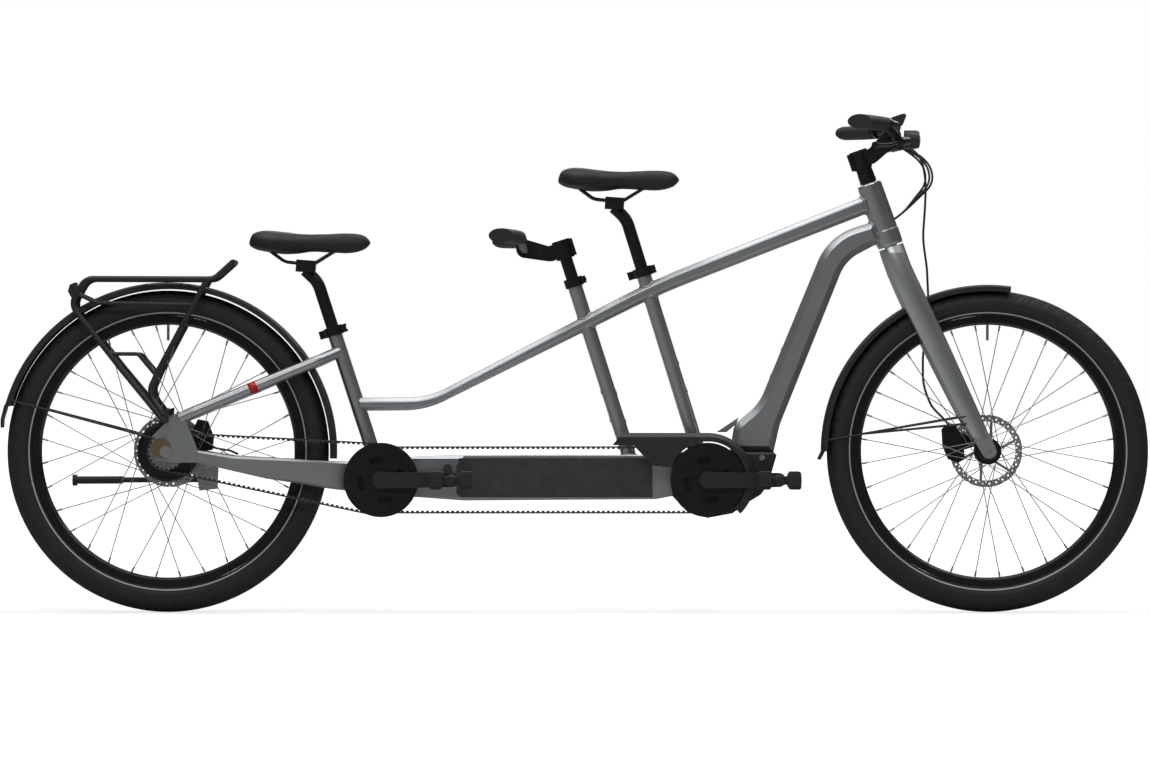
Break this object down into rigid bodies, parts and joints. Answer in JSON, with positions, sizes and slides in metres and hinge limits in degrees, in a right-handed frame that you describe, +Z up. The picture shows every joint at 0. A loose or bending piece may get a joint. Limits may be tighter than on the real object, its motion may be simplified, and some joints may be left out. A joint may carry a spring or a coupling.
{
  "type": "tandem bicycle",
  "caption": "Electric tandem bicycle with belt drive, mid-mounted drive unit, boom battery, disc brakes, fenders, luggage rack and kickstand.",
  "frame": {"origin": "on the ground, midway between the rearmost and foremost points, in the middle plane", "axes": "+X forward, +Y to the riders' left, +Z up"},
  "size_m": [2.5224, 0.6896, 1.0964],
  "materials": {
    "frame_paint": "metallic silver-grey paint on aluminium tube",
    "fork_paint": "metallic silver-grey paint on aluminium",
    "tan_paint": "tan anodised",
    "unit_cover": "satin black",
    "battery_shell": "satin dark grey",
    "fender_paint": "matt black",
    "rack_paint": "matt black powder coat on aluminium tube",
    "lens_red": "clear red",
    "brake_metal": "satin black",
    "bolt_steel": "zinc plated",
    "black_alloy": "satin black anodised",
    "sprocket_steel": "brushed",
    "disc_steel": "brushed",
    "spoke_steel": "bright",
    "tyre_rubber": "matt black",
    "belt_rubber": "matt black",
    "grip_rubber": "matt black",
    "saddle_cover": "matt black cover with grey stitching",
    "display_plastic": "black"
  },
  "bodies": {
    "frame": {"head_tube": "frame_paint", "top_tube": "frame_paint", "down_tube": "frame_paint", "seat_tubes": "frame_paint", "boom_tube": "frame_paint", "rear_stays": "frame_paint", "dropouts": "tan_paint", "drive_unit": "unit_cover", "belt_guard": "unit_cover", "battery": "battery_shell", "rear_fender": "fender_paint", "rack": "rack_paint", "rear_light": "lens_red", "rear_brake": "brake_metal", "frame_fittings": "bolt_steel", "seat_clamps": "black_alloy", "sync_belt": "belt_rubber", "drive_belt": "belt_rubber"},
    "steering": {"fork": "fork_paint", "stem": "black_alloy", "handlebar": "black_alloy", "captain_grips": "grip_rubber", "display": "display_plastic", "headlight": "display_plastic", "brake_perches": "brake_metal", "front_fender": "fender_paint", "front_caliper": "brake_metal", "front_brake_hose": "belt_rubber", "control_cables": "belt_rubber"},
    "front_wheel": {"front_tyre": "tyre_rubber", "front_rim": "black_alloy", "front_spokes": "spoke_steel", "front_hub": "black_alloy", "front_disc": "disc_steel"},
    "rear_wheel": {"rear_tyre": "tyre_rubber", "rear_rim": "black_alloy", "rear_spokes": "spoke_steel", "rear_hub": "black_alloy", "rear_disc": "disc_steel"},
    "rear_sprocket": {"rear_sprocket": "sprocket_steel"},
    "captain_crank": {"captain_cranks": "black_alloy", "captain_chainring": "black_alloy"},
    "stoker_crank": {"stoker_cranks": "black_alloy", "stoker_chainrings": "black_alloy"},
    "captain_pedal_right": {"captain_pedal_right": "grip_rubber"},
    "captain_pedal_left": {"captain_pedal_left": "grip_rubber"},
    "stoker_pedal_right": {"stoker_pedal_right": "grip_rubber"},
    "stoker_pedal_left": {"stoker_pedal_left": "grip_rubber"},
    "captain_post": {"captain_seatpost": "black_alloy", "captain_saddle": "saddle_cover"},
    "stoker_post": {"stoker_seatpost": "black_alloy", "stoker_saddle": "saddle_cover"},
    "stoker_bar": {"stoker_stem": "black_alloy", "stoker_handlebar": "black_alloy", "stoker_grips": "grip_rubber"},
    "captain_clamp": {"captain_clamp_lever": "black_alloy"},
    "stoker_clamp": {"stoker_clamp_lever": "black_alloy"},
    "brake_lever_left": {"brake_lever_left": "black_alloy"},
    "brake_lever_right": {"brake_lever_right": "black_alloy"},
    "kickstand": {"kickstand": "black_alloy"}
  },
  "joints": [
    {"name": "steering", "type": "hinge", "parent": "frame", "child": "steering", "pos_m": [0.85805, 0, 0.33687], "axis": [-0.3295, 0, 0.9441], "range_deg": [-50, 50], "deforming": ["control_cables"]},
    {"name": "front_wheel_spin", "type": "hinge", "parent": "steering", "child": "front_wheel", "pos_m": [0.90715, 0, 0.354], "axis": [0, 1, 0], "continuous": true},
    {"name": "rear_wheel_spin", "type": "hinge", "parent": "frame", "child": "rear_wheel", "pos_m": [-0.89485, 0, 0.354], "axis": [0, 1, 0], "continuous": true},
    {"name": "captain_crank_spin", "type": "hinge", "parent": "frame", "child": "captain_crank", "pos_m": [0.29038, 0, 0.292], "axis": [0, 1, 0], "continuous": true},
    {"name": "stoker_crank_spin", "type": "hinge", "parent": "frame", "child": "stoker_crank", "pos_m": [-0.42462, 0, 0.292], "axis": [0, 1, 0], "continuous": true},
    {"name": "rear_sprocket_spin", "type": "hinge", "parent": "frame", "child": "rear_sprocket", "pos_m": [-0.89485, 0, 0.354], "axis": [0, 1, 0], "continuous": true},
    {"name": "captain_pedal_right_spin", "type": "hinge", "parent": "captain_crank", "child": "captain_pedal_right", "pos_m": [0.44538, 0, 0.292], "axis": [0, 1, 0], "continuous": true},
    {"name": "captain_pedal_left_spin", "type": "hinge", "parent": "captain_crank", "child": "captain_pedal_left", "pos_m": [0.13538, 0, 0.292], "axis": [0, 1, 0], "continuous": true},
    {"name": "stoker_pedal_right_spin", "type": "hinge", "parent": "stoker_crank", "child": "stoker_pedal_right", "pos_m": [-0.26962, 0, 0.292], "axis": [0, 1, 0], "continuous": true},
    {"name": "stoker_pedal_left_spin", "type": "hinge", "parent": "stoker_crank", "child": "stoker_pedal_left", "pos_m": [-0.57962, 0, 0.292], "axis": [0, 1, 0], "continuous": true},
    {"name": "brake_lever_right_pull", "type": "hinge", "parent": "steering", "child": "brake_lever_right", "pos_m": [0.70223, -0.2, 1.0265], "axis": [-0.8493, 0.4494, -0.2771], "range_deg": [0, 10], "stiffness_Nm_per_rad": 0.5, "springref_deg": -17.19},
    {"name": "brake_lever_left_pull", "type": "hinge", "parent": "steering", "child": "brake_lever_left", "pos_m": [0.70223, 0.2, 1.0265], "axis": [0.8493, 0.4494, 0.2771], "range_deg": [0, 10], "stiffness_Nm_per_rad": 0.5, "springref_deg": -17.19},
    {"name": "captain_post_height", "type": "slide", "parent": "frame", "child": "captain_post", "axis": [-0.2957, 0, 0.9553], "range_m": [-0.045, 0.06]},
    {"name": "stoker_post_height", "type": "slide", "parent": "frame", "child": "stoker_post", "axis": [-0.309, 0, 0.9511], "range_m": [-0.045, 0.06]},
    {"name": "stoker_bar_height", "type": "slide", "parent": "frame", "child": "stoker_bar", "axis": [-0.3049, 0, 0.9524], "range_m": [-0.04, 0.05]},
    {"name": "captain_clamp_throw", "type": "hinge", "parent": "frame", "child": "captain_clamp", "pos_m": [0.17058, 0.02, 0.7568], "axis": [0.2957, 0, -0.9553], "range_deg": [0, 150]},
    {"name": "stoker_clamp_throw", "type": "hinge", "parent": "frame", "child": "stoker_clamp", "pos_m": [-0.50932, 0.02, 0.62711], "axis": [0.309, 0, -0.9511], "range_deg": [0, 150]},
    {"name": "kickstand_swing", "type": "hinge", "parent": "frame", "child": "kickstand", "pos_m": [-0.81185, 0.099, 0.29], "axis": [0, -1, 0], "range_deg": [0, 78]}
  ],
  "couplings": [
    {"joint": "stoker_crank_spin", "follows": "captain_crank_spin", "ratio": 1},
    {"joint": "rear_sprocket_spin", "follows": "captain_crank_spin", "ratio": 1.875}
  ]
}
